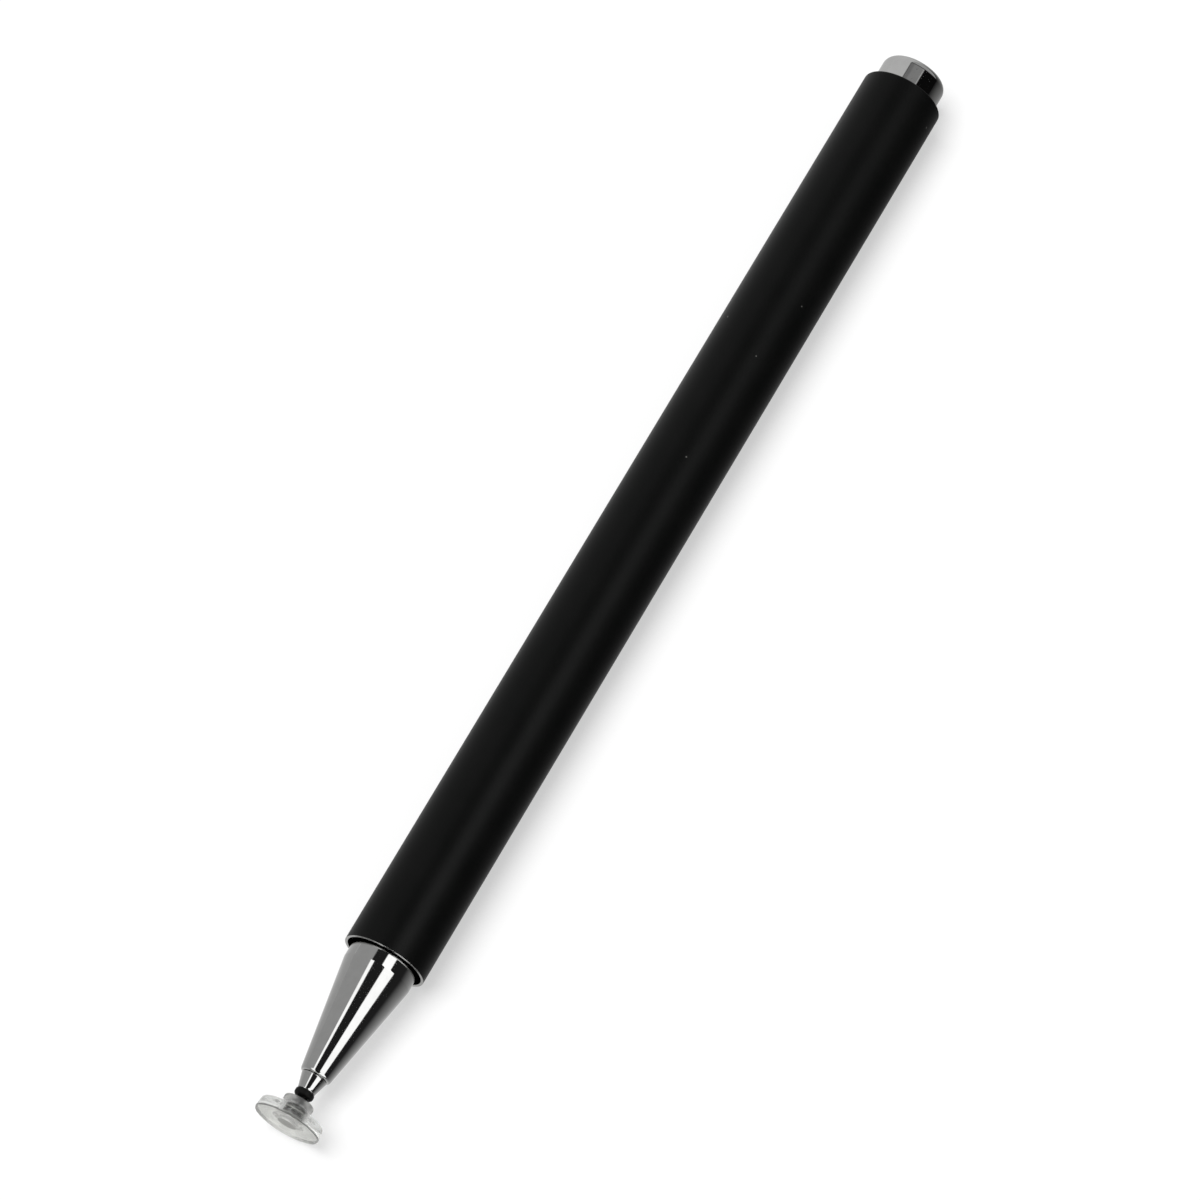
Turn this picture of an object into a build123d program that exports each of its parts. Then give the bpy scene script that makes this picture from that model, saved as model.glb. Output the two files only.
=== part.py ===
from build123d import *
import os
from math import ceil, cos, radians, sqrt, tan

# A disc-tip stylus pen. It lies along X on its barrel, its tip towards -X and its cap towards +X.
# Sizes are in millimetres. A station is a distance along the pen from the disc's contact face.

# Barrel, a thin drawn tube
barrel_diameter = 9.0
barrel_wall = 0.3
barrel_length = 112.2
barrel_rear_rounding = 0.2

# Clear disc with its hub, and the film on its contact face
disc_diameter = 7.2
disc_thickness = 1.1
disc_draft = 0.15
disc_edge_rounding = 0.06
hub_wall = 0.53
hub_lip = 0.54
hub_edge_rounding = 0.2
hub_root_fillet = 0.2
film_thickness = 0.1
film_margin = 0.05

# Ball joint between the stem and the disc, and the plug that closes its socket
ball_diameter = 2.1
neck_diameter = 1.1
tilt_limit = 20.0
ball_clearance = 0.05
neck_clearance = 0.06
plug_floor = 0.32
plug_length = 0.77
plug_clearance = 0.03

# Rubber bead on the neck
bead_diameter = 2.06
bead_length = 0.68
bead_gap = 0.42
bead_front_rounding = 0.34
bead_rear_rounding = 0.12
bead_clearance = 0.04

# Ferrule at the end of the nose
ferrule_tip_diameter = 1.96
ferrule_tip_length = 0.2
ferrule_rim_diameter = 2.76
ferrule_rim_length = 0.15
ferrule_length = 1.75
ferrule_tail_diameter = 2.0
ferrule_tail_length = 4.0
ferrule_edge_rounding = 0.12

# Nose cone and the collar that stands in the barrel's mouth, with an open gap round it
cone_tip_diameter = 3.26
cone_tip_rounding = 0.35
cone_length = 12.4
cone_wall = 0.6
collar_show = 1.6
collar_rear_rounding = 0.15
mouth_gap = 0.5
mouth_depth = 2.5

# Nose's hollow shank, and its screw thread in the front bush
shank_wall = 0.9
shank_lead = 0.6
thread_shoulder = 0.7
thread_depth = 0.4
thread_pitch = 1.0
thread_turns = 6
thread_crest = 0.2
thread_flank = 30.0
thread_sink = 0.05
thread_clearance = 0.1
relief_length = 1.0
relief_depth = 0.1

# Washer on the shank, and the bushes in the barrel
washer_thickness = 0.5
washer_inset = 0.1
washer_edge_rounding = 0.12
washer_clearance = 0.02
front_bush_length = 9.0
rear_bush_length = 8.0
rear_bush_wall = 1.66
rear_bush_recess = 0.4
bond_line = 0.02

# End cap, with an open gap round it like the one round the collar
cap_gap = 0.575
cap_show = 3.3
cap_rounding = 0.9
spigot_length = 6.5
spigot_rounding = 0.4

# The most of a wall that a rounding on it may take
rounding_share = 0.9

# Radii
barrel_radius = barrel_diameter / 2
barrel_bore = barrel_radius - barrel_wall
bush_radius = barrel_bore - bond_line
disc_radius = disc_diameter / 2
ball_radius = ball_diameter / 2
socket_radius = ball_radius + ball_clearance
hub_radius = socket_radius + hub_wall
neck_radius = neck_diameter / 2
bead_radius = bead_diameter / 2
bead_bore = neck_radius + bead_clearance
stem_bore = neck_radius + bond_line
ferrule_tip_radius = ferrule_tip_diameter / 2
ferrule_rim_radius = ferrule_rim_diameter / 2
tail_radius = ferrule_tail_diameter / 2
tail_bore = tail_radius + bond_line
cone_tip_radius = cone_tip_diameter / 2
collar_radius = barrel_bore - mouth_gap
thread_radius = collar_radius - thread_shoulder
thread_root = thread_radius - thread_depth
shank_bore = thread_root - shank_wall
cap_radius = barrel_bore - cap_gap
spigot_bore = bush_radius - rear_bush_wall
spigot_radius = spigot_bore - bond_line

# Opening of the ball's socket: a flare with room for the tilted neck, and the lip where it meets the seat
flare = tan(radians(tilt_limit))
neck_room = neck_radius / cos(radians(tilt_limit)) + neck_clearance
lip_reach = sqrt((1 + flare**2) * socket_radius**2 - neck_room**2)
lip_height = (lip_reach - flare * neck_room) / (1 + flare**2)

# Stations, from the contact face to the end of the cap
disc_front = film_thickness
disc_rear = disc_front + disc_thickness
plug_front = disc_front + plug_clearance
ball_station = plug_front + plug_floor + socket_radius
lip_station = ball_station + lip_height
hub_rear = lip_station + hub_lip
bead_front = hub_rear + bead_gap
bead_rear = bead_front + bead_length
ferrule_front = bead_rear + bead_clearance
cone_front = ferrule_front + ferrule_length
tail_rear = cone_front + ferrule_tail_length
cone_rear = cone_front + cone_length
mouth = cone_rear + collar_show
front_bush_front = mouth + mouth_depth
front_bush_rear = front_bush_front + front_bush_length
washer_front = front_bush_front - washer_clearance - washer_thickness
collar_rear = washer_front - washer_clearance
thread_front = collar_rear + relief_length
shank_rear = thread_front + thread_turns * thread_pitch + shank_lead
barrel_rear = mouth + barrel_length
rear_bush_rear = barrel_rear - rear_bush_recess
overall_length = barrel_rear + cap_show


def limited(rounding, wall):
    """A rounding, or as much of it as its wall has room for."""
    return min(rounding, rounding_share * wall)


def turned(*corners):
    """A solid turned about the pen's axis. A corner is (station, radius) or (station, radius, rounding)."""
    outline = make_face(Polyline(*[corner[:2] for corner in corners], close=True))
    for station, radius, rounding in (corner for corner in corners if len(corner) == 3):
        vertex = outline.vertices().sort_by_distance((station, radius))[0]
        outline = fillet(vertex, rounding)
    return revolve(outline, Axis.X)


def rod(front, rear, radius):
    """A plain cylinder on the pen's axis."""
    return turned((front, 0), (front, radius), (rear, radius), (rear, 0))


def ball(radius):
    """A ball at the centre of the ball joint."""
    return Pos(ball_station, 0, 0) * Sphere(radius)


def threaded_rod(front, rear, start, turns, growth):
    """A rod with a right-hand ridge wound on it from a station, all of it grown by a clearance."""
    root = thread_root + growth - thread_sink
    crest = thread_radius + growth
    slope = tan(radians(thread_flank))
    crest_half = thread_crest / 2 + growth * (1 / cos(radians(thread_flank)) - slope)
    root_half = crest_half + (crest - root) * slope
    path = Helix(thread_pitch, turns * thread_pitch, crest, center=(start, 0, 0), direction=(1, 0, 0))
    first = path @ 0
    outward = Vector(0, first.Y, first.Z).normalized()
    section_plane = Plane((start, 0, 0), x_dir=(1, 0, 0), z_dir=Vector(1, 0, 0).cross(outward))
    foot = ((-root_half, root), (root_half, root))
    top = ((crest_half, crest), (-crest_half, crest))
    outline = Polyline(*foot, *top, close=True)
    ridge = sweep(section_plane * make_face(outline), path=path, is_frenet=True)
    return rod(front, rear, thread_root + growth) + ridge


def make_barrel():
    return turned(
        (mouth, barrel_bore),
        (mouth, barrel_radius),
        (barrel_rear, barrel_radius, limited(barrel_rear_rounding, barrel_wall)),
        (barrel_rear, barrel_bore),
    )


def make_front_bush():
    """A plain ring with the nose's thread cut right through it."""
    turns_ahead = ceil((thread_front - front_bush_front) / thread_pitch) + 1
    groove_front = thread_front - turns_ahead * thread_pitch
    groove_turns = ceil((front_bush_rear - groove_front) / thread_pitch) + 1
    groove_rear = groove_front + groove_turns * thread_pitch
    cutter = threaded_rod(groove_front, groove_rear, groove_front, groove_turns, thread_clearance)
    return rod(front_bush_front, front_bush_rear, bush_radius) - cutter


def make_nose_washer():
    """It lies between the collar and the front bush, and passes over the thread."""
    washer_bore = thread_radius + thread_clearance
    washer_radius = collar_radius - washer_inset
    washer_rear = washer_front + washer_thickness
    rounding = limited(washer_edge_rounding, washer_thickness / 2)
    return turned(
        (washer_front, washer_bore),
        (washer_front, washer_radius, rounding),
        (washer_rear, washer_radius, rounding),
        (washer_rear, washer_bore),
    )


def make_nose_cone():
    """The cone, the collar in the barrel's mouth, and the threaded shank, hollow from the rear."""
    relief_radius = thread_root - relief_depth
    outside = turned(
        (cone_front, 0),
        (cone_front, cone_tip_radius, limited(cone_tip_rounding, cone_tip_radius - tail_bore)),
        (cone_rear, collar_radius),
        (collar_rear, collar_radius, collar_rear_rounding),
        (collar_rear, relief_radius),
        (thread_front, relief_radius),
        (thread_front, 0),
    )
    shank = threaded_rod(thread_front, shank_rear, thread_front, thread_turns, 0)
    cone_slope = (collar_radius - cone_tip_radius) / cone_length
    hollow_front = max(tail_rear, cone_front + (shank_bore + cone_wall - cone_tip_radius) / cone_slope)
    bore = rod(cone_front, hollow_front, tail_bore)
    hollow = rod(hollow_front, shank_rear, shank_bore)
    return outside + shank - bore - hollow


def make_tip_ferrule():
    """A short neck, a taper and a rim in front of the cone, and a tail bonded in the cone's bore."""
    tip_rear = ferrule_front + ferrule_tip_length
    rim_front = cone_front - ferrule_rim_length
    return turned(
        (ferrule_front, stem_bore),
        (ferrule_front, ferrule_tip_radius, limited(ferrule_edge_rounding, ferrule_tip_radius - stem_bore)),
        (tip_rear, ferrule_tip_radius),
        (rim_front, ferrule_rim_radius),
        (cone_front, ferrule_rim_radius, limited(ferrule_edge_rounding, ferrule_rim_length)),
        (cone_front, tail_radius),
        (tail_rear, tail_radius),
        (tail_rear, stem_bore),
    )


def make_ball_stem():
    """A rod bonded in the ferrule, with the ball on its front end."""
    return rod(ball_station, tail_rear, neck_radius) + ball(ball_radius)


def make_neck_collar():
    """The bead, loose on the neck."""
    bead_wall = bead_radius - bead_bore
    return turned(
        (bead_front, bead_bore),
        (bead_front, bead_radius, limited(bead_front_rounding, bead_wall)),
        (bead_rear, bead_radius, limited(bead_rear_rounding, bead_wall)),
        (bead_rear, bead_bore),
    )


def make_socket_room():
    """The room in the hub: a bore, the ball's seat, and an opening flared for the tilted neck."""
    lip = (lip_station, neck_room + lip_height * flare)
    opening_radius = neck_room + (hub_rear - ball_station) * flare
    bore = Polyline((disc_front, 0), (disc_front, socket_radius), (ball_station, socket_radius))
    seat = RadiusArc((ball_station, socket_radius), lip, socket_radius)
    opening = Polyline(lip, (hub_rear, opening_radius), (hub_rear, 0), (disc_front, 0))
    return revolve(make_face(bore + seat + opening), Axis.X)


def make_disc():
    """The rim and the hub, with the ball's socket."""
    body = turned(
        (disc_front, 0),
        (disc_front, disc_radius, disc_edge_rounding),
        (disc_rear, disc_radius - disc_draft, disc_edge_rounding),
        (disc_rear, hub_radius, hub_root_fillet),
        (hub_rear, hub_radius, limited(hub_edge_rounding, hub_wall)),
        (hub_rear, 0),
    )
    return body - make_socket_room()


def make_socket_plug():
    """It closes the socket behind the film, and is hollowed to seat the ball."""
    plug_rear = plug_front + plug_length
    return rod(plug_front, plug_rear, socket_radius - plug_clearance) - ball(socket_radius)


def make_contact_film():
    return rod(0, film_thickness, disc_radius - film_margin)


def make_rear_bush():
    return turned(
        (rear_bush_rear - rear_bush_length, spigot_bore),
        (rear_bush_rear - rear_bush_length, bush_radius),
        (rear_bush_rear, bush_radius),
        (rear_bush_rear, spigot_bore),
    )


def make_end_cap():
    """A head that seats on the rear bush, and a spigot bonded in it."""
    spigot_front = rear_bush_rear - spigot_length
    return turned(
        (spigot_front, 0),
        (spigot_front, spigot_radius, spigot_rounding),
        (rear_bush_rear, spigot_radius),
        (rear_bush_rear, cap_radius),
        (overall_length, cap_radius, cap_rounding),
        (overall_length, 0),
    )


pieces = {
    "barrel": make_barrel(),
    "front_bush": make_front_bush(),
    "nose_washer": make_nose_washer(),
    "nose_cone": make_nose_cone(),
    "tip_ferrule": make_tip_ferrule(),
    "ball_stem": make_ball_stem(),
    "neck_collar": make_neck_collar(),
    "socket_plug": make_socket_plug(),
    "disc": make_disc(),
    "contact_film": make_contact_film(),
    "rear_bush": make_rear_bush(),
    "end_cap": make_end_cap(),
}

# The origin is under the middle of the pen, on the surface that the barrel lies on.
lying = Pos(-overall_length / 2, 0, barrel_radius)
os.makedirs("parts", exist_ok=True)
for name, piece in pieces.items():
    export_step(lying * piece, f"parts/{name}.step")

print("overall length", round(overall_length, 4))
print("ball's centre", round(ball_station - overall_length / 2, 4))
print("barrel's mouth", round(mouth - overall_length / 2, 4))
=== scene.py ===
from math import asin, atan2, ceil, cos, degrees, hypot, pi, radians, sin, sqrt, tan

import bpy
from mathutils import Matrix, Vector


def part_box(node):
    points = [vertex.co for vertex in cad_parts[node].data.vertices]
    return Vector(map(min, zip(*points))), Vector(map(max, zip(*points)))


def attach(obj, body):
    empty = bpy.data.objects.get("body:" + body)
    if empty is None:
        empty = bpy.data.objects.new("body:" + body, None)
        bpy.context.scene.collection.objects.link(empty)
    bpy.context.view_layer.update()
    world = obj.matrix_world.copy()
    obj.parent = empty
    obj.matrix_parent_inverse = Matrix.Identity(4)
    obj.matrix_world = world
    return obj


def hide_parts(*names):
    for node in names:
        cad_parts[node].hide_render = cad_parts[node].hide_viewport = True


# A disc-tip stylus pen, lying along X on its barrel, its tip towards -X and its cap towards +X.
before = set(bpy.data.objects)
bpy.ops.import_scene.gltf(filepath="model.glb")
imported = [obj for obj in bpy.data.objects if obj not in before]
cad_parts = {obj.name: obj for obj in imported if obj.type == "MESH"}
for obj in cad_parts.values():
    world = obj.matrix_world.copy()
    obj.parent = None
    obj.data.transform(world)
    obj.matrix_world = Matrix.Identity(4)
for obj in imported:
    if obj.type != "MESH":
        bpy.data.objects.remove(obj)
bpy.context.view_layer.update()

MM = 0.001

# Radii
barrel_radius = 4.5 * MM
barrel_bore = 4.2 * MM
collar_radius = 3.7 * MM
cone_tip_radius = 1.63 * MM
tail_radius = 1.0 * MM
tail_bore = 1.02 * MM
shank_bore = 1.7 * MM
relief_radius = 2.5 * MM
thread_root = 2.6 * MM
thread_radius = 3.0 * MM
washer_bore = 3.1 * MM
washer_radius = 3.6 * MM
ferrule_tip_radius = 0.98 * MM
ferrule_rim_radius = 1.38 * MM
stem_bore = 0.57 * MM
neck_radius = 0.55 * MM
ball_radius = 1.05 * MM
socket_radius = 1.10 * MM
plug_radius = 1.07 * MM
bead_bore = 0.59 * MM
bead_radius = 1.03 * MM
disc_radius = 3.6 * MM
disc_draft = 0.15 * MM
hub_radius = 1.63 * MM
film_radius = 3.55 * MM
cap_radius = 3.625 * MM
spigot_radius = 2.5 * MM

# Lengths
collar_length = 3.56 * MM
relief_length = 1.0 * MM
ferrule_tip_length = 0.2 * MM
ferrule_rim_length = 0.15 * MM
ferrule_show = 1.75 * MM
disc_thickness = 1.1 * MM
hub_lip = 0.54 * MM
cap_seat = 3.7 * MM
collar_air = 0.02 * MM
hollow_air = 0.012 * MM
film_air = 0.008 * MM

# Thread. The run-out at each end is counted in turns.
thread_pitch = 1.0 * MM
thread_turns = 6
thread_crest = 0.2 * MM
thread_sink = 0.05 * MM
thread_runout = 0.3

# Angles, in degrees
tilt_limit = 20.0
thread_flank = 30.0
crease_angle = 32.0

# Roundings and broken edges
rim_break = 0.03 * MM
barrel_rear_rounding = 0.2 * MM
cone_tip_rounding = 0.35 * MM
cone_base_rounding = 0.25 * MM
collar_rear_rounding = 0.15 * MM
shank_rounding = 0.1 * MM
ferrule_edge_rounding = 0.12 * MM
washer_rounding = 0.12 * MM
bead_front_rounding = 0.34 * MM
bead_rear_rounding = 0.12 * MM
disc_edge_rounding = 0.06 * MM
hub_edge_rounding = 0.2 * MM
film_rounding = 0.03 * MM
cap_rounding = 0.9 * MM
spigot_rounding = 0.4 * MM
thread_rounding = 0.04 * MM

# How finely the turned pieces are drawn
around_large = 144
around_small = 96
around_thread = 64
rounding_steps = 9
ball_steps = 28
seat_steps = 12
longest_run = 4.0 * MM
end_hold = 0.03 * MM
weld_distance = 0.0002 * MM

axis_height = sum(corner[2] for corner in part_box("barrel")) / 2


def ends(node):
    """Where a node starts and ends along the pen."""
    low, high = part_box(node)
    return low[0], high[0]


def ball_centre():
    """Where the ball's centre lies along the pen."""
    return ends("ball_stem")[0] + ball_radius


def rounded(before, corner, after, rounding):
    """The points of an arc that rounds a corner of an outline."""
    here = Vector(corner)
    back = (Vector(before) - here).normalized()
    ahead = (Vector(after) - here).normalized()
    half = back.angle(ahead) / 2
    centre = here + (back + ahead).normalized() * rounding / sin(half)
    first = here + back * rounding / tan(half) - centre
    sweep = pi - 2 * half
    if back.x * ahead.y - back.y * ahead.x > 0:
        sweep = -sweep
    start = atan2(first.y, first.x)
    turns = [start + sweep * step / rounding_steps for step in range(rounding_steps + 1)]
    return [(centre.x + rounding * cos(turn), centre.y + rounding * sin(turn)) for turn in turns]


def ball_arc(centre, radius, first, last, steps):
    """Points on a ball's outline, by their angles in degrees from the ball's front."""
    turns = [radians(first + (last - first) * step / steps) for step in range(steps + 1)]
    return [(centre - radius * cos(turn), radius * sin(turn)) for turn in turns]


def straight(first, last):
    """Points between the ends of a straight run, near each end and evenly along it, that keep its
    shading flat."""
    length = hypot(last[0] - first[0], last[1] - first[1])
    if length < 4 * end_hold:
        return []
    runs = ceil(length / longest_run)
    stops = [end_hold / length, *(run / runs for run in range(1, runs)), 1 - end_hold / length]
    return [tuple(a + (b - a) * stop for a, b in zip(first, last)) for stop in stops]


def outline(corners, closed):
    """The points of an outline. A corner is (along, radius) or (along, radius, rounding)."""
    bends = []
    for place, corner in enumerate(corners):
        if len(corner) == 3:
            before, after = corners[place - 1], corners[(place + 1) % len(corners)]
            bends.append(rounded(before[:2], corner[:2], after[:2], corner[2]))
        else:
            bends.append([corner])
    if closed:
        bends.append(bends[0][:1])
    points = list(bends[0])
    for bend in bends[1:]:
        points += straight(points[-1], bend[0]) + bend
    return points


def add(tree, kind, inputs=None, **settings):
    """A node with its settings and its inputs, each a value or another node's output."""
    node = tree.nodes.new(kind)
    for key, value in settings.items():
        setattr(node, key, value)
    for key, value in (inputs or {}).items():
        if isinstance(value, bpy.types.NodeSocket):
            tree.links.new(value, node.inputs[key])
        else:
            node.inputs[key].default_value = value
    return node


def maths(tree, operation, *values):
    """The result of one sum."""
    return add(tree, "ShaderNodeMath", dict(enumerate(values)), operation=operation).outputs[0]


def shaping_tree(name, sizes):
    """A new tree with named sizes, that starts from an outline."""
    tree = bpy.data.node_groups.new(name, "GeometryNodeTree")
    tree.interface.new_socket("Outline", in_out="INPUT", socket_type="NodeSocketGeometry")
    for label, kind in sizes.items():
        tree.interface.new_socket(label, in_out="INPUT", socket_type=f"NodeSocket{kind}")
    tree.interface.new_socket("Piece", in_out="OUTPUT", socket_type="NodeSocketGeometry")
    return tree, add(tree, "NodeGroupInput").outputs


def outline_grid(tree, given):
    """A grid with a row for each point of the outline and a column for each step round the axis,
    and for each of its corners the outline's point and the column."""
    count = add(tree, "GeometryNodeAttributeDomainSize", {"Geometry": given["Outline"]}, component="MESH")
    columns = maths(tree, "ADD", given["Around"], 1.0)
    sheet = add(tree, "GeometryNodeMeshGrid",
                {"Vertices X": count.outputs["Point Count"], "Vertices Y": columns})
    index = add(tree, "GeometryNodeInputIndex").outputs[0]
    row = maths(tree, "FLOOR", maths(tree, "DIVIDE", index, columns))
    column = maths(tree, "SUBTRACT", index, maths(tree, "MULTIPLY", row, columns))
    spot = add(tree, "GeometryNodeInputPosition").outputs[0]
    point = add(tree, "GeometryNodeSampleIndex", data_type="FLOAT_VECTOR", domain="POINT")
    tree.links.new(given["Outline"], point.inputs["Geometry"])
    tree.links.new(spot, point.inputs["Value"])
    tree.links.new(row, point.inputs["Index"])
    apart = add(tree, "ShaderNodeSeparateXYZ", {0: point.outputs[0]})
    return sheet.outputs["Mesh"], apart.outputs["X"], apart.outputs["Z"], column


def finish_tree(tree, given, sheet, along, sideways, upward):
    """Moves the grid to its places, welds seams and poles, and shades it sharp only at creases."""
    height = maths(tree, "ADD", upward, given["Axis Height"])
    place = add(tree, "ShaderNodeCombineXYZ", {"X": along, "Y": sideways, "Z": height})
    moved = add(tree, "GeometryNodeSetPosition", {"Geometry": sheet, "Position": place.outputs[0]})
    welded = add(tree, "GeometryNodeMergeByDistance",
                 {"Geometry": moved.outputs[0], "Distance": given["Weld Distance"]})
    smooth = add(tree, "GeometryNodeSetShadeSmooth", {0: welded.outputs[0]}, domain="FACE")
    edge = add(tree, "GeometryNodeInputMeshEdgeAngle").outputs["Unsigned Angle"]
    sharp = maths(tree, "GREATER_THAN", edge, given["Crease"])
    creased = add(tree, "GeometryNodeSetShadeSmooth",
                  {0: smooth.outputs[0], "Selection": sharp, "Shade Smooth": False}, domain="EDGE")
    real = add(tree, "GeometryNodeRealizeInstances", {0: creased.outputs[0]})
    painted = add(tree, "GeometryNodeSetMaterial",
                  {"Geometry": real.outputs[0], "Material": given["Finish"]})
    add(tree, "NodeGroupOutput", {"Piece": painted.outputs[0]})
    return tree


def turned_tree():
    """Turns an outline once round the pen's axis."""
    tree, given = shaping_tree("turned_piece", {
        "Around": "Int", "Axis Height": "Float", "Weld Distance": "Float", "Crease": "Float",
        "Finish": "Material"})
    sheet, along, radius, column = outline_grid(tree, given)
    turn = maths(tree, "DIVIDE", maths(tree, "MULTIPLY", column, 2 * pi), given["Around"])
    sideways = maths(tree, "MULTIPLY", radius, maths(tree, "SINE", turn))
    upward = maths(tree, "MULTIPLY", radius, maths(tree, "COSINE", turn))
    return finish_tree(tree, given, sheet, along, sideways, upward)


def wound_tree():
    """Winds a ridge's outline right-handed along the pen's axis, with both ends run out to nothing."""
    tree, given = shaping_tree("wound_ridge", {
        "Around": "Int", "Turns": "Float", "Pitch": "Float", "Start": "Float", "Foot": "Float",
        "Runout": "Float", "Axis Height": "Float", "Weld Distance": "Float", "Crease": "Float",
        "Finish": "Material"})
    sheet, along, radius, column = outline_grid(tree, given)
    share = maths(tree, "DIVIDE", column, given["Around"])
    wound = maths(tree, "MULTIPLY", share, given["Turns"])
    left = maths(tree, "SUBTRACT", given["Turns"], wound)
    full = maths(tree, "DIVIDE", maths(tree, "MINIMUM", wound, left), given["Runout"])
    full = maths(tree, "MINIMUM", full, 1.0)
    tall = maths(tree, "MULTIPLY", maths(tree, "SUBTRACT", radius, given["Foot"]), full)
    radius = maths(tree, "ADD", given["Foot"], tall)
    ahead = maths(tree, "ADD", given["Start"], maths(tree, "MULTIPLY", wound, given["Pitch"]))
    along = maths(tree, "ADD", ahead, maths(tree, "MULTIPLY", along, full))
    turn = maths(tree, "MULTIPLY", wound, 2 * pi)
    sideways = maths(tree, "MULTIPLY", radius, maths(tree, "SINE", maths(tree, "MULTIPLY", turn, -1.0)))
    upward = maths(tree, "MULTIPLY", radius, maths(tree, "COSINE", turn))
    return finish_tree(tree, given, sheet, along, sideways, upward)


def shaped(name, tree, points, sizes):
    """A piece that a tree makes from an outline, as a plain mesh."""
    mesh = bpy.data.meshes.new(name)
    runs = [(place, place + 1) for place in range(len(points) - 1)]
    mesh.from_pydata([(along, 0, radius) for along, radius in points], runs, [])
    piece = bpy.data.objects.new(name, mesh)
    bpy.context.scene.collection.objects.link(piece)
    shaping = piece.modifiers.new("shape", "NODES")
    shaping.node_group = tree
    shared = {"Axis Height": axis_height, "Weld Distance": weld_distance, "Crease": radians(crease_angle)}
    sizes = {**shared, **sizes}
    for socket in tree.interface.items_tree:
        if socket.in_out == "INPUT" and socket.name in sizes:
            shaping[socket.identifier] = sizes[socket.name]
    ready = bpy.context.evaluated_depsgraph_get()
    made = bpy.data.meshes.new_from_object(piece.evaluated_get(ready), depsgraph=ready)
    piece.modifiers.clear()
    piece.data = made
    made.name = name
    return piece


def new_effect(name, inputs, outputs):
    """A new group of shader nodes with named numbers in and out."""
    tree = bpy.data.node_groups.new(name, "ShaderNodeTree")
    for label, value in inputs.items():
        socket = tree.interface.new_socket(label, in_out="INPUT", socket_type="NodeSocketFloat")
        socket.default_value = value
    for label in outputs:
        tree.interface.new_socket(label, in_out="OUTPUT", socket_type="NodeSocketFloat")
    place = add(tree, "ShaderNodeTexCoord").outputs["Object"]
    return tree, add(tree, "NodeGroupInput").outputs, place


# The shared effects: the part of a noise that is used, how far a ring wanders off its place, and how
# the two sets of scratches are turned, in degrees, and stretched
noise_low = 0.3
noise_middle = 0.5
noise_high = 0.7
ring_wander = 2 * MM
scratch_lays = ((25.0, (0.15, 1.0, 1.0)), (-50.0, (1.0, 0.12, 1.0)))


def grain_effect():
    """A fine even grain, between two values."""
    tree, given, place = new_effect("grain", {"Scale": 4000.0, "Low": 0.0, "High": 1.0}, ["Value"])
    noise = add(tree, "ShaderNodeTexNoise", {"Vector": place, "Scale": given["Scale"], "Detail": 3.0})
    spread = add(tree, "ShaderNodeMapRange", {
        "Value": noise.outputs[0], "From Min": noise_low, "From Max": noise_high,
        "To Min": given["Low"], "To Max": given["High"]})
    add(tree, "NodeGroupOutput", {"Value": spread.outputs[0]})
    return tree


def rings_effect():
    """The faint rings that turning and polishing leave round the pen's axis."""
    tree, given, place = new_effect("turning_rings", {"Rings": 9000.0, "Drift": 60.0}, ["Height"])
    drift = add(tree, "ShaderNodeTexNoise", {"Vector": place, "Scale": given["Drift"], "Detail": 1.0})
    along = add(tree, "ShaderNodeSeparateXYZ", {0: place}).outputs["X"]
    wander = maths(tree, "MULTIPLY", drift.outputs[0], ring_wander)
    ring = maths(tree, "MULTIPLY", maths(tree, "ADD", along, wander), given["Rings"])
    noise = add(tree, "ShaderNodeTexNoise", {"W": ring, "Scale": 1.0, "Detail": 2.0}, noise_dimensions="1D")
    add(tree, "NodeGroupOutput", {"Height": noise.outputs[0]})
    return tree


def scratches_effect():
    """Sparse hair scratches, thin lines where a stretched noise crosses its middle."""
    numbers = {"Scale": 300.0, "Width": 0.01, "Amount": 0.5}
    tree, given, place = new_effect("hair_scratches", numbers, ["Mask"])
    lines = []
    for turn, stretch in scratch_lays:
        laid = add(tree, "ShaderNodeMapping", {
            "Vector": place, "Rotation": (radians(turn), radians(turn), radians(turn)), "Scale": stretch})
        noise = add(tree, "ShaderNodeTexNoise", {
            "Vector": laid.outputs[0], "Scale": given["Scale"], "Detail": 1.0})
        off = maths(tree, "ABSOLUTE", maths(tree, "SUBTRACT", noise.outputs[0], noise_middle))
        lines.append(maths(tree, "LESS_THAN", off, given["Width"]))
    broken = add(tree, "ShaderNodeTexNoise", {"Vector": place, "Scale": given["Scale"], "Detail": 2.0})
    kept = maths(tree, "LESS_THAN", broken.outputs[0], given["Amount"])
    either = maths(tree, "MAXIMUM", *lines)
    add(tree, "NodeGroupOutput", {"Mask": maths(tree, "MULTIPLY", either, kept)})
    return tree


def dust_effect():
    """A few pale specks of dust, one in some of the cells of a scattered pattern."""
    tree, given, place = new_effect("dust_specks", {"Cells": 300.0, "Size": 0.03, "Share": 0.2}, ["Mask"])
    cell = add(tree, "ShaderNodeTexVoronoi", {"Vector": place, "Scale": given["Cells"]})
    near = maths(tree, "LESS_THAN", cell.outputs["Distance"], given["Size"])
    chance = add(tree, "ShaderNodeSeparateColor", {0: cell.outputs["Color"]}).outputs[0]
    chosen = maths(tree, "LESS_THAN", chance, given["Share"])
    add(tree, "NodeGroupOutput", {"Mask": maths(tree, "MULTIPLY", near, chosen)})
    return tree


grain = grain_effect()
rings = rings_effect()
scratches = scratches_effect()
dust = dust_effect()


def new_finish(name, **plain):
    """A new material, with the values that are the same all over it, and its tree and main shader."""
    material = bpy.data.materials.new(name)
    material.use_nodes = True
    tree = material.node_tree
    shader = tree.nodes["Principled BSDF"]
    for key, value in plain.items():
        shader.inputs[key.replace("_", " ")].default_value = value
    return material, tree, shader


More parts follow.
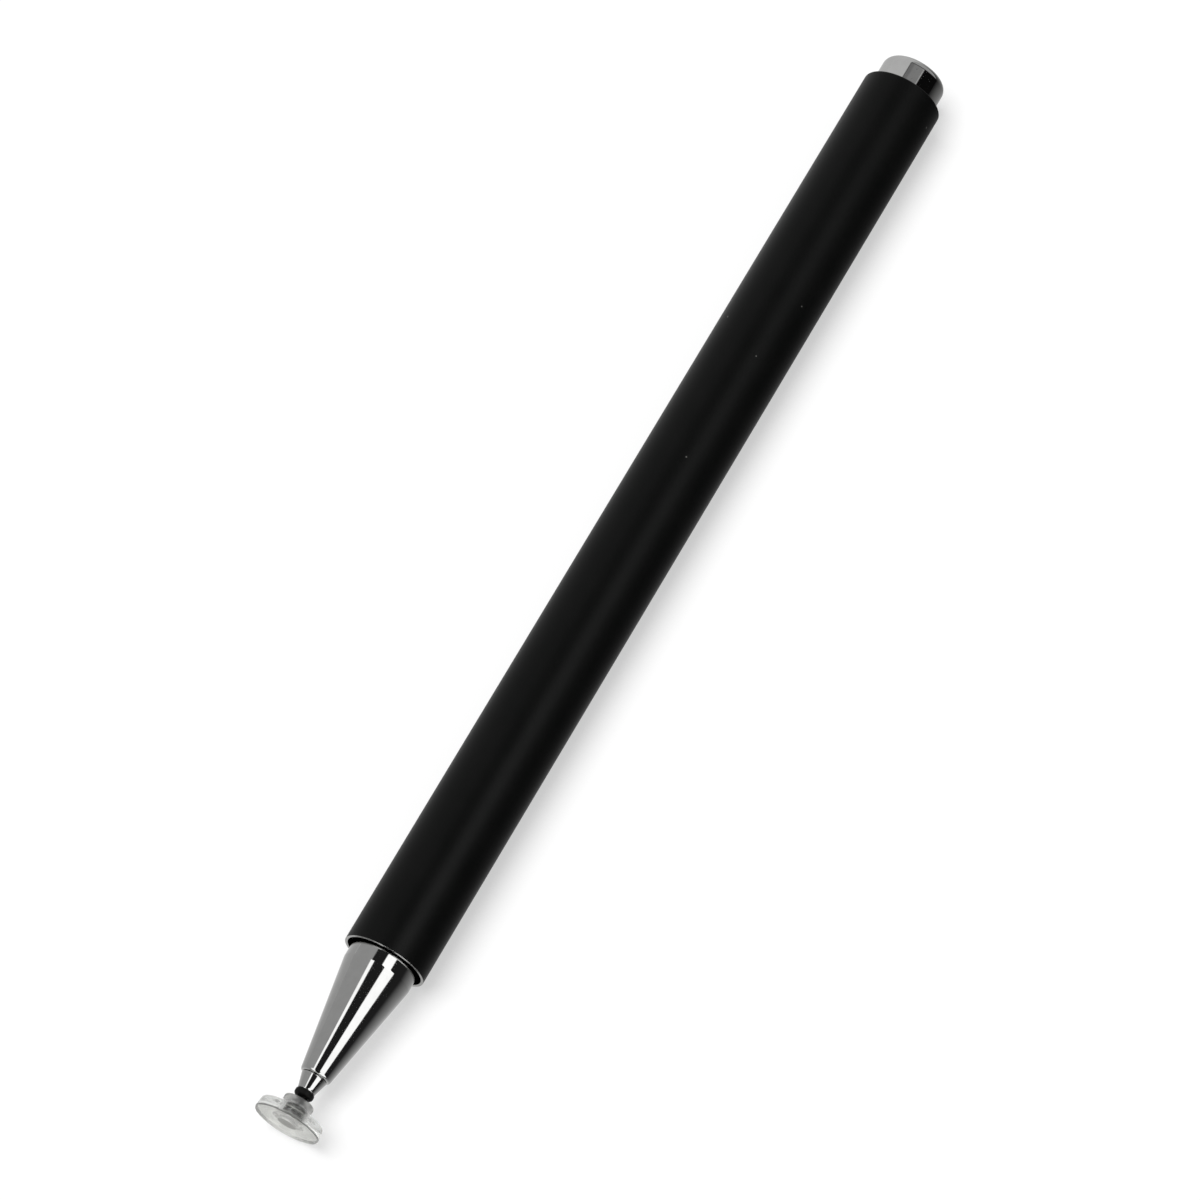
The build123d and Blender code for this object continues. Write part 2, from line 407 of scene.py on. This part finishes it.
def effect(tree, group, **values):
    """One of the shared effects, with its own values."""
    return add(tree, "ShaderNodeGroup", values, node_tree=group).outputs[0]


def mixed(tree, share, first, second):
    """A colour between two colours."""
    mix = add(tree, "ShaderNodeMix", data_type="RGBA")
    tree.links.new(share, mix.inputs[0])
    for place, colour in ((6, first), (7, second)):
        if isinstance(colour, bpy.types.NodeSocket):
            tree.links.new(colour, mix.inputs[place])
        else:
            mix.inputs[place].default_value = (*colour, 1.0)
    return mix.outputs[2]


def cloudy(tree, colours, scale):
    """A colour that wanders between two colours."""
    return mixed(tree, effect(tree, grain, Scale=scale, Low=0.0, High=1.0), *colours)


def bumped(tree, shader, height, depth, strength):
    """A bump of a given depth, in metres."""
    bump = add(tree, "ShaderNodeBump", {"Height": height, "Distance": depth, "Strength": strength})
    tree.links.new(bump.outputs[0], shader.inputs["Normal"])


def grainy(tree, shader, scale, depth, strength):
    """The fine bump of a moulded or etched skin."""
    bumped(tree, shader, effect(tree, grain, Scale=scale, Low=0.0, High=1.0), depth, strength)


def into(tree, shader, **outputs):
    """Joins outputs to the main shader's inputs."""
    for key, output in outputs.items():
        tree.links.new(output, shader.inputs[key.replace("_", " ")])


def along_pen(tree):
    """How far along the pen a point lies."""
    place = add(tree, "ShaderNodeTexCoord").outputs["Object"]
    return add(tree, "ShaderNodeSeparateXYZ", {0: place}).outputs["X"]


def off_axis(tree):
    """How far from the pen's axis a point lies."""
    place = add(tree, "ShaderNodeTexCoord").outputs["Object"]
    apart = add(tree, "ShaderNodeSeparateXYZ", {0: place}).outputs
    up = maths(tree, "SUBTRACT", apart["Z"], axis_height)
    square = maths(tree, "ADD", maths(tree, "MULTIPLY", apart["Y"], apart["Y"]),
                   maths(tree, "MULTIPLY", up, up))
    return maths(tree, "SQRT", square)


def step_at(tree, value, place, soft):
    """Rises from 0 to 1 as a value passes a place."""
    return add(tree, "ShaderNodeMapRange", {
        "Value": maths(tree, "SUBTRACT", value, place), "From Min": -soft, "From Max": soft},
        interpolation_type="SMOOTHSTEP").outputs[0]


def step_down(tree, value, place, soft):
    """Falls from 1 to 0 as a value passes a place."""
    return maths(tree, "SUBTRACT", 1.0, step_at(tree, value, place, soft))


def band(tree, value, low, high, soft):
    """1 between two places, and 0 outside them."""
    return maths(tree, "MULTIPLY", step_at(tree, value, low, soft), step_down(tree, value, high, soft))


# Colours. A pair holds the two colours of a cloudy surface.
anodised_black = ((0.0018, 0.0020, 0.0019), (0.0027, 0.0028, 0.0027))
barrel_dust = (0.10, 0.10, 0.095)
bare_aluminium = (0.44, 0.44, 0.43)
chrome_plate = ((0.445, 0.445, 0.44), (0.475, 0.475, 0.47))
scratched_chrome = (0.40, 0.40, 0.395)
blackened_steel = ((0.008, 0.008, 0.008), (0.015, 0.015, 0.015))
# Painted highlight: a pale ring of colour on the ball that stands in for the strip lamps' reflection.
painted_ball_highlight = (0.5, 0.5, 0.48)
washer_black = ((0.0225, 0.0225, 0.0216), (0.03, 0.03, 0.0291))
bead_black = ((0.003, 0.003, 0.00288), (0.004, 0.004, 0.00388))
rubber_dust = (0.06, 0.06, 0.058)
clear_rim = ((0.82, 0.83, 0.81), (0.90, 0.91, 0.89))
milky_hub = (0.70, 0.70, 0.69)
clear_sheet = ((0.88, 0.88, 0.86), (0.94, 0.94, 0.92))
sheet_edge = (0.82, 0.82, 0.81)
nylon_grey = ((0.25, 0.25, 0.24), (0.31, 0.31, 0.30))
nylon_middle = (0.22, 0.22, 0.21)
nylon_rear = (0.02, 0.02, 0.02)
brass_yellow = ((0.72, 0.53, 0.24), (0.55, 0.38, 0.16))
moulded_black = ((0.012, 0.012, 0.012), (0.02, 0.02, 0.02))

# Where a finish changes on a piece, and how much smoother or rougher it gets there. The pale band
# painted on the ball as a highlight and the frost are measured from the ball's centre.
bare_cut = 0.6 * rim_break
bare_lip = 0.1 * MM
bare_polish = 0.05
scratch_rough = 0.06
# Where the ball's painted highlight band lies, in front of the ball's centre.
highlight_band_front = 0.34 * MM
highlight_band_rear = 0.20 * MM
highlight_band_soft = 0.04 * MM
hub_start = 0.02 * MM
frost_start = 0.45 * MM
frost_soft = 0.25 * MM
frost_rough = 0.28
sheet_edge_width = 0.10 * MM
plug_middle = 0.3 * plug_radius
plug_side = 0.7 * plug_radius
plug_thin = 0.24 * MM
plug_thin_soft = 0.06 * MM


def black_anodised_finish():
    """Satin black anodised aluminium, with dust on it and a bright bare edge at the cut mouth."""
    material, tree, shader = new_finish("black_anodised", Specular_IOR_Level=0.10)
    mouth = ends("barrel")[0]
    along = along_pen(tree)
    cut = maths(tree, "LESS_THAN", along, mouth + bare_cut)
    lip = maths(tree, "MULTIPLY", maths(tree, "LESS_THAN", along, mouth + bare_lip),
                maths(tree, "LESS_THAN", off_axis(tree), barrel_bore + rim_break))
    bare = maths(tree, "MAXIMUM", cut, lip)
    specks = effect(tree, dust, Cells=330.0, Size=0.03, Share=0.9)
    dusty = mixed(tree, specks, cloudy(tree, anodised_black, scale=220.0), barrel_dust)
    satin = effect(tree, grain, Scale=9000.0, Low=0.34, High=0.42)
    into(tree, shader,
         Base_Color=mixed(tree, bare, dusty, bare_aluminium),
         Metallic=bare,
         Roughness=maths(tree, "SUBTRACT", satin, maths(tree, "MULTIPLY", bare, bare_polish)))
    grainy(tree, shader, scale=14000.0, depth=0.004 * MM, strength=0.25)
    return material


def chrome_finish():
    """Bright chrome plate over a turned piece, with hair scratches and the ghost of its turning."""
    material, tree, shader = new_finish("chrome", Metallic=1.0)
    marks = effect(tree, scratches, Scale=700.0, Width=0.002, Amount=0.40)
    haze = effect(tree, grain, Scale=700.0, Low=0.05, High=0.085)
    into(tree, shader,
         Base_Color=mixed(tree, marks, cloudy(tree, chrome_plate, scale=900.0), scratched_chrome),
         Roughness=maths(tree, "ADD", haze, maths(tree, "MULTIPLY", marks, scratch_rough)))
    turning_marks = effect(tree, rings, Rings=12000.0, Drift=80.0)
    bumped(tree, shader, turning_marks, depth=0.0004 * MM, strength=0.3)
    return material


def steel_finish():
    """Blackened turned steel, with a pale ring painted round the ball as a highlight, standing in for the
    reflection of the strip lamps.
    """
    material, tree, shader = new_finish("steel")
    centre = ball_centre()
    # A pale non-metal band painted on the ball as a highlight, where the strip lamps' reflection would
    # fall.
    painted_highlight = band(tree, along_pen(tree), centre - highlight_band_front, centre - highlight_band_rear, highlight_band_soft)
    into(tree, shader,
         Base_Color=mixed(tree, painted_highlight, cloudy(tree, blackened_steel, scale=1800.0), painted_ball_highlight),
         Metallic=maths(tree, "SUBTRACT", 1.0, painted_highlight),
         Roughness=effect(tree, grain, Scale=2500.0, Low=0.28, High=0.42))
    turning_marks = effect(tree, rings, Rings=15000.0, Drift=90.0)
    bumped(tree, shader, turning_marks, depth=0.002 * MM, strength=0.4)
    return material


def black_rubber_finish(name, colours):
    """Moulded black rubber with a fine matt skin and a few specks of dust."""
    material, tree, shader = new_finish(name, Specular_IOR_Level=0.15)
    specks = effect(tree, dust, Cells=2600.0, Size=0.05, Share=0.1)
    into(tree, shader,
         Base_Color=mixed(tree, specks, cloudy(tree, colours, scale=2600.0), rubber_dust),
         Roughness=effect(tree, grain, Scale=6000.0, Low=0.45, High=0.62))
    grainy(tree, shader, scale=12000.0, depth=0.008 * MM, strength=0.4)
    return material


def clear_plastic_finish():
    """Clear moulded plastic with faint flow marks, milkier at the hub and frosted at its rear."""
    material, tree, shader = new_finish("clear_plastic", Transmission_Weight=0.97, IOR=1.42)
    along = along_pen(tree)
    hub = maths(tree, "GREATER_THAN", along, ends("disc")[0] + disc_thickness + hub_start)
    frost = step_at(tree, along, ball_centre() + frost_start, frost_soft)
    clear = effect(tree, grain, Scale=900.0, Low=0.16, High=0.22)
    into(tree, shader,
         Base_Color=mixed(tree, hub, cloudy(tree, clear_rim, scale=500.0), milky_hub),
         Roughness=maths(tree, "MULTIPLY_ADD", frost, frost_rough, clear))
    return material


def clear_film_finish():
    """Clear film, with a greyer cut edge."""
    material, tree, shader = new_finish("clear_film", Transmission_Weight=0.97, IOR=1.12)
    edge = maths(tree, "GREATER_THAN", off_axis(tree), film_radius - sheet_edge_width)
    into(tree, shader,
         Base_Color=mixed(tree, edge, cloudy(tree, clear_sheet, scale=700.0), sheet_edge),
         Roughness=effect(tree, grain, Scale=2000.0, Low=0.05, High=0.12))
    return material


def grey_nylon_finish():
    """Light grey moulded nylon, darker in its middle and at the thin rear edge, where the ball shows
    through."""
    material, tree, shader = new_finish("grey_nylon", Specular_IOR_Level=0.4)
    middle = add(tree, "ShaderNodeMapRange", {
        "Value": off_axis(tree), "From Min": plug_middle, "From Max": plug_side,
        "To Min": 1.0, "To Max": 0.0}).outputs[0]
    thin = step_at(tree, along_pen(tree), ends("socket_plug")[1] - plug_thin, plug_thin_soft)
    body = mixed(tree, middle, cloudy(tree, nylon_grey, scale=1600.0), nylon_middle)
    into(tree, shader,
         Base_Color=mixed(tree, thin, body, nylon_rear),
         Roughness=effect(tree, grain, Scale=4000.0, Low=0.4, High=0.55))
    grainy(tree, shader, scale=7000.0, depth=0.006 * MM, strength=0.3)
    return material


def brass_finish():
    """Turned brass, with its rings and a few dull patches."""
    material, tree, shader = new_finish("brass", Metallic=1.0)
    into(tree, shader,
         Base_Color=cloudy(tree, brass_yellow, scale=600.0),
         Roughness=effect(tree, grain, Scale=3000.0, Low=0.22, High=0.38))
    turning_marks = effect(tree, rings, Rings=9000.0, Drift=60.0)
    bumped(tree, shader, turning_marks, depth=0.003 * MM, strength=0.4)
    return material


def black_plastic_finish():
    """Black moulded plastic with a fine matt texture."""
    material, tree, shader = new_finish("black_plastic", Specular_IOR_Level=0.4)
    into(tree, shader,
         Base_Color=cloudy(tree, moulded_black, scale=1200.0),
         Roughness=effect(tree, grain, Scale=5000.0, Low=0.45, High=0.6))
    grainy(tree, shader, scale=8000.0, depth=0.008 * MM, strength=0.4)
    return material


finishes = {
    "black_anodised": black_anodised_finish(),
    "brass": brass_finish(),
    "washer_rubber": black_rubber_finish("washer_rubber", washer_black),
    "chrome": chrome_finish(),
    "steel": steel_finish(),
    "black_rubber": black_rubber_finish("black_rubber", bead_black),
    "grey_nylon": grey_nylon_finish(),
    "clear_plastic": clear_plastic_finish(),
    "clear_film": clear_film_finish(),
    "black_plastic": black_plastic_finish(),
}

turning = turned_tree()
winding = wound_tree()


def dress(piece, body, slot, *nodes):
    """Puts a finished piece on its body, in the place of its nodes."""
    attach(piece, body)
    if nodes:
        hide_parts(*nodes)


def turned(name, body, slot, node, corners, closed, around):
    """A turned piece, in the place of its node."""
    sizes = {"Around": around, "Finish": finishes[slot]}
    dress(shaped(name, turning, outline(corners, closed), sizes), body, slot, node)


def make_barrel():
    front, rear = ends("barrel")
    corners = [
        (front, barrel_bore, rim_break),
        (front, barrel_radius, rim_break),
        (rear, barrel_radius, barrel_rear_rounding),
        (rear, barrel_bore, rim_break),
    ]
    turned("barrel_tube", "barrel", "black_anodised", "barrel", corners, True, around_large)


def make_nose():
    """The cone with its collar, the relief and the hollow shank behind it, and the thread on the shank."""
    front, rear = ends("nose_cone")
    collar_rear = ends("nose_washer")[0] - collar_air
    collar_front = collar_rear - collar_length
    thread_front = collar_rear + relief_length
    hollow_front = ends("tip_ferrule")[1] + hollow_air
    corners = [
        (front, tail_bore),
        (front, cone_tip_radius, cone_tip_rounding),
        (collar_front, collar_radius, cone_base_rounding),
        (collar_rear, collar_radius, collar_rear_rounding),
        (collar_rear, relief_radius),
        (thread_front, relief_radius),
        (thread_front, thread_root),
        (rear, thread_root, shank_rounding),
        (rear, shank_bore),
        (hollow_front, shank_bore),
        (hollow_front, tail_bore),
    ]
    turned("nose_body", "nose", "chrome", "nose_cone", corners, True, around_large)
    foot = thread_root - thread_sink
    crest_half = thread_crest / 2
    foot_half = crest_half + (thread_radius - foot) * tan(radians(thread_flank))
    ridge = [
        (foot_half, foot),
        (crest_half, thread_radius, thread_rounding),
        (-crest_half, thread_radius, thread_rounding),
        (-foot_half, foot),
    ]
    sizes = {
        "Around": around_thread * thread_turns, "Turns": thread_turns, "Pitch": thread_pitch,
        "Start": thread_front, "Foot": foot, "Runout": thread_runout, "Finish": finishes["chrome"],
    }
    thread = shaped("nose_thread", winding, outline(ridge, True), sizes)
    dress(thread, "nose", "chrome")


def make_ferrule():
    front, rear = ends("tip_ferrule")
    cone_front = front + ferrule_show
    corners = [
        (front, stem_bore),
        (front, ferrule_tip_radius, ferrule_edge_rounding),
        (front + ferrule_tip_length, ferrule_tip_radius),
        (cone_front - ferrule_rim_length, ferrule_rim_radius),
        (cone_front, ferrule_rim_radius, ferrule_edge_rounding),
        (cone_front, tail_radius),
        (rear, tail_radius),
        (rear, stem_bore),
    ]
    turned("ferrule", "nose", "chrome", "tip_ferrule", corners, True, around_small)


def make_stem():
    rear = ends("ball_stem")[1]
    centre = ball_centre()
    neck_angle = 180 - degrees(asin(neck_radius / ball_radius))
    corners = ball_arc(centre, ball_radius, 0, neck_angle, ball_steps)
    corners += [(rear, neck_radius), (rear, 0)]
    turned("stem_with_ball", "nose", "steel", "ball_stem", corners, False, around_small)


def make_bead():
    front, rear = ends("neck_collar")
    corners = [
        (front, bead_bore),
        (front, bead_radius, bead_front_rounding),
        (rear, bead_radius, bead_rear_rounding),
        (rear, bead_bore),
    ]
    turned("rubber_bead", "bead", "black_rubber", "neck_collar", corners, True, around_small)


def make_disc():
    """The rim and the hub, with the ball's socket and its flared opening."""
    front, rear = ends("disc")
    centre = ball_centre()
    rim_rear = front + disc_thickness
    flare = tan(radians(tilt_limit))
    lip = rear - hub_lip
    lip_radius = sqrt(socket_radius ** 2 - (lip - centre) ** 2)
    lip_angle = 180 - degrees(asin(lip_radius / socket_radius))
    corners = [
        (front, socket_radius),
        (front, disc_radius, disc_edge_rounding),
        (rim_rear, disc_radius - disc_draft, disc_edge_rounding),
        (rim_rear, hub_radius, hub_edge_rounding),
        (rear, hub_radius, hub_edge_rounding),
        (rear, lip_radius + hub_lip * flare),
    ]
    corners += ball_arc(centre, socket_radius, lip_angle, 90, seat_steps)
    turned("clear_disc", "disc", "clear_plastic", "disc", corners, True, around_large)


def make_plug():
    front, rear = ends("socket_plug")
    centre = ball_centre()
    seat_radius = sqrt(socket_radius ** 2 - (centre - rear) ** 2)
    seat_angle = degrees(asin(seat_radius / socket_radius))
    corners = [(front, 0), (front, plug_radius, rim_break), (rear, plug_radius)]
    corners += ball_arc(centre, socket_radius, seat_angle, 0, seat_steps)
    turned("grey_plug", "socket", "grey_nylon", "socket_plug", corners, False, around_small)


def make_film():
    front, rear = ends("contact_film")
    corners = [
        (front, 0),
        (front, film_radius, film_rounding),
        (rear - film_air, film_radius, film_rounding),
        (rear - film_air, 0),
    ]
    turned("face_film", "disc", "clear_film", "contact_film", corners, False, around_large)


def make_washer():
    front, rear = ends("nose_washer")
    corners = [
        (front, washer_bore),
        (front, washer_radius, washer_rounding),
        (rear, washer_radius, washer_rounding),
        (rear, washer_bore),
    ]
    turned("rubber_washer", "washer", "washer_rubber", "nose_washer", corners, True, around_small)


def make_cap():
    front, rear = ends("end_cap")
    seat = rear - cap_seat
    corners = [
        (front, 0),
        (front, spigot_radius, spigot_rounding),
        (seat, spigot_radius),
        (seat, cap_radius, rim_break),
        (rear, cap_radius, cap_rounding),
        (rear, 0),
    ]
    turned("cap_with_spigot", "barrel", "chrome", "end_cap", corners, False, around_large)


def finish_bushes():
    """The bushes keep their solids, with their own finishes."""
    for node, slot in (("front_bush", "brass"), ("rear_bush", "black_plastic")):
        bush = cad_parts[node]
        bush.data.materials.clear()
        bush.data.materials.append(finishes[slot])


make_barrel()
make_nose()
make_ferrule()
make_stem()
make_bead()
make_disc()
make_plug()
make_film()
make_washer()
make_cap()
finish_bushes()


# Studio: a white floor, a soft sun from the left and plain white light all round. Mirrored surfaces
# see a shaded floor instead, and a dark room with two strip lamps overhead, a grey wall on the left, a
# panel towards the cap's end and a wall behind it. The picture's right is a direction on the floor.
white_light = (1.0, 1.0, 1.0, 1.0)
no_colour = (0.0, 0.0, 0.0)
picture_right = (0.4797, -0.8774)
sun_strength = 2.4
sun_spread = 36.0
sun_height = 74.0
plain_light = 0.40
clear_light = 0.45

# Floor. A fall is the angle, in degrees, from level on the right down to a place on the floor, as seen
# from the mirror height above the pen's line.
floor_span = 20.0
floor_colour = (0.98, 0.98, 0.98)
floor_glow = 0.50
mirror_glow = 0.97
mirror_low = 0.55
mirror_high = 0.82
mirror_height = 5.5 * MM
mirror_right_start = 2.0
mirror_right_end = 72.0
mirror_left = 145.0
mirror_left_soft = 35.0
mirror_far = 35 * MM
mirror_far_soft = 35 * MM

# Room. A lean is the angle to the right of straight up, in degrees. A reach is how far a direction points
# along the pen, from -1 at the tip's end to 1 at the cap's. A soft is half the width of a soft border.
tip_reach = -0.30
tip_soft = 0.06
end_reach = 0.40
end_soft = 0.015
room_light = 0.024
end_room_light = 0.006

# Strip lamps. The main one slants, so its sides shift by a slope times the reach.
strip_light = 2.1
strip_soft = 1.2
main_left = 22.4
main_left_slope = -31.0
main_right = 58.5
main_right_slope = -50.0
main_right_at_tip = 15.0
main_end = 0.335
main_end_soft = 0.03
swell_start = 0.10
swell_end = 0.26
swell_soft = 0.04
swell_light = 1.2
side_left = -25.0
side_left_at_tip = -20.0
side_right = -13.5
side_end = 0.18

# Walls and the panel, which is brighter on its right and has a bright right edge
wall_light = 0.52
end_wall_light = 0.86
wall_left = -100.0
wall_right = -23.0
wall_soft = 2.0
panel_light = 0.36
panel_left = -21.0
panel_right = 29.0
panel_end = 0.53
panel_base = 0.75
panel_rise = 0.3
panel_rise_place = -8.0
panel_rise_soft = 5.0
panel_edge_left = 26.5
panel_edge_right = 30.0
panel_edge_soft = 1.0
rear_light = 0.55
rear_reach = 0.62
rear_soft = 0.06

# Camera
lens_length = 182.0
sensor_width = 36.0
camera_place = (-0.22736, -0.12274, 0.5728)
camera_aim = (-0.00279, 0.00006, axis_height)


def mirrored_floor(tree):
    """How bright mirrored surfaces see the floor: it darkens towards the right, and beyond the middle
    of the pen its brighter and its darker side change places."""
    spot = add(tree, "ShaderNodeTexCoord").outputs["Object"]
    apart = add(tree, "ShaderNodeSeparateXYZ", {0: spot}).outputs
    rightward = maths(tree, "MULTIPLY", apart["Y"], -1.0)
    fall = maths(tree, "MULTIPLY", maths(tree, "ARCTAN2", mirror_height, rightward), degrees(1))
    right = add(tree, "ShaderNodeMapRange", {
        "Value": fall, "From Min": mirror_right_start, "From Max": mirror_right_end}).outputs[0]
    left = step_at(tree, fall, mirror_left, mirror_left_soft)
    far = step_at(tree, apart["X"], mirror_far, mirror_far_soft)
    swapped = maths(tree, "ABSOLUTE", maths(tree, "SUBTRACT", left, far))
    level = maths(tree, "MULTIPLY_ADD", swapped, mirror_low - mirror_high, mirror_high)
    return maths(tree, "MULTIPLY", right, level)


def make_floor():
    half = floor_span / 2
    corners = [(-half, -half, 0), (half, -half, 0), (half, half, 0), (-half, half, 0)]
    mesh = bpy.data.meshes.new("floor")
    mesh.from_pydata(corners, [], [(0, 1, 2, 3)])
    floor = bpy.data.objects.new("floor", mesh)
    bpy.context.scene.collection.objects.link(floor)
    board, tree, shader = new_finish(
        "white_board", Roughness=0.9, Specular_IOR_Level=0.0, Emission_Color=white_light)
    path = add(tree, "ShaderNodeLightPath").outputs
    viewed = maths(tree, "MULTIPLY", path["Is Camera Ray"], floor_glow)
    mirrored = maths(tree, "MAXIMUM", path["Is Glossy Ray"], path["Is Transmission Ray"])
    mirrored = maths(tree, "MULTIPLY", mirrored, mirror_glow)
    into(tree, shader,
         Base_Color=mixed(tree, maths(tree, "ADD", viewed, mirrored), floor_colour, no_colour),
         Emission_Strength=maths(tree, "MULTIPLY_ADD", mirrored, mirrored_floor(tree), viewed))
    mesh.materials.append(board)


def make_sun():
    lamp = bpy.data.lights.new("soft_sun", "SUN")
    lamp.energy = sun_strength
    lamp.angle = radians(sun_spread)
    sun = bpy.data.objects.new("soft_sun", lamp)
    level = cos(radians(sun_height))
    towards = Vector((picture_right[0] * level, picture_right[1] * level, -sin(radians(sun_height))))
    sun.rotation_euler = towards.to_track_quat("-Z", "Y").to_euler()
    sun.visible_glossy = False
    bpy.context.scene.collection.objects.link(sun)


def strip_lamps(tree, lean, reach):
    """The main strip, with a brighter stretch, and the short side strip. Both widen at the tip's end."""
    slant = maths(tree, "MINIMUM", maths(tree, "MAXIMUM", reach, tip_reach), end_reach)
    tip = step_down(tree, reach, tip_reach, tip_soft)
    left = maths(tree, "MULTIPLY_ADD", slant, main_left_slope, main_left)
    right = maths(tree, "MULTIPLY_ADD", slant, main_right_slope, main_right)
    right = maths(tree, "MULTIPLY_ADD", tip, main_right_at_tip, right)
    main = maths(tree, "MULTIPLY", band(tree, lean, left, right, strip_soft),
                 step_down(tree, reach, main_end, main_end_soft))
    swell = band(tree, reach, swell_start, swell_end, swell_soft)
    main = maths(tree, "MULTIPLY", main, maths(tree, "MULTIPLY_ADD", swell, swell_light, 1.0))
    left = maths(tree, "MULTIPLY_ADD", tip, side_left_at_tip, side_left)
    side = maths(tree, "MULTIPLY", band(tree, lean, left, side_right, strip_soft),
                 step_down(tree, reach, side_end, end_soft))
    return maths(tree, "MULTIPLY", maths(tree, "MAXIMUM", main, side), strip_light)


def room_walls(tree, lean, reach):
    """The dark room with its left wall, its panel and the wall at the cap's end."""
    end = step_at(tree, reach, end_reach, end_soft)
    left_light = maths(tree, "MULTIPLY_ADD", end, end_wall_light - wall_light, wall_light)
    left_wall = maths(tree, "MULTIPLY", band(tree, lean, wall_left, wall_right, wall_soft), left_light)
    rise = step_at(tree, lean, panel_rise_place, panel_rise_soft)
    panel = maths(tree, "MULTIPLY", band(tree, lean, panel_left, panel_right, wall_soft),
                  maths(tree, "MULTIPLY_ADD", rise, panel_rise, panel_base))
    edge = band(tree, lean, panel_edge_left, panel_edge_right, panel_edge_soft)
    panel = maths(tree, "MULTIPLY", band(tree, reach, end_reach, panel_end, end_soft),
                  maths(tree, "ADD", panel, edge))
    dark = maths(tree, "MULTIPLY_ADD", end, end_room_light - room_light, room_light)
    room = maths(tree, "MULTIPLY_ADD", panel, panel_light, dark)
    rear_wall = maths(tree, "MULTIPLY", step_at(tree, reach, rear_reach, rear_soft), rear_light)
    return maths(tree, "MAXIMUM", room, maths(tree, "MAXIMUM", left_wall, rear_wall))


def make_world():
    """Mirrored rays see the room. Rays through clear pieces see the room or an even light, whichever is
    brighter, and all other rays see plain light."""
    world = bpy.data.worlds.new("studio")
    world.use_nodes = True
    world.cycles.sampling_method = "NONE"
    tree = world.node_tree
    background = tree.nodes["Background"]
    way = add(tree, "ShaderNodeTexCoord").outputs["Generated"]
    apart = add(tree, "ShaderNodeSeparateXYZ", {0: way}).outputs
    rightward = maths(tree, "MULTIPLY", apart["Y"], -1.0)
    lean = maths(tree, "MULTIPLY", maths(tree, "ARCTAN2", rightward, apart["Z"]), degrees(1))
    reach = apart["X"]
    seen = maths(tree, "MAXIMUM", room_walls(tree, lean, reach), strip_lamps(tree, lean, reach))
    path = add(tree, "ShaderNodeLightPath").outputs
    through = path["Is Transmission Ray"]
    mirrored = maths(tree, "MAXIMUM", maths(tree, "SUBTRACT", path["Is Glossy Ray"], through), 0.0)
    clear = maths(tree, "MULTIPLY", through, maths(tree, "MAXIMUM", seen, clear_light))
    others = maths(tree, "SUBTRACT", maths(tree, "SUBTRACT", 1.0, mirrored), through)
    plain = maths(tree, "MULTIPLY_ADD", others, plain_light, clear)
    tree.links.new(maths(tree, "MULTIPLY_ADD", mirrored, seen, plain), background.inputs["Strength"])
    background.inputs["Color"].default_value = white_light
    bpy.context.scene.world = world


def make_camera():
    """The photograph's view: from the front and above, level, through a long lens."""
    lens = bpy.data.cameras.new("camera")
    lens.lens = lens_length
    lens.sensor_width = sensor_width
    camera = bpy.data.objects.new("camera", lens)
    camera.location = camera_place
    towards = Vector(camera_aim) - camera.location
    camera.rotation_euler = towards.to_track_quat("-Z", "Y").to_euler()
    bpy.context.scene.collection.objects.link(camera)
    bpy.context.scene.camera = camera


make_floor()
make_sun()
make_world()
make_camera()
bpy.context.scene.view_settings.view_transform = "Standard"
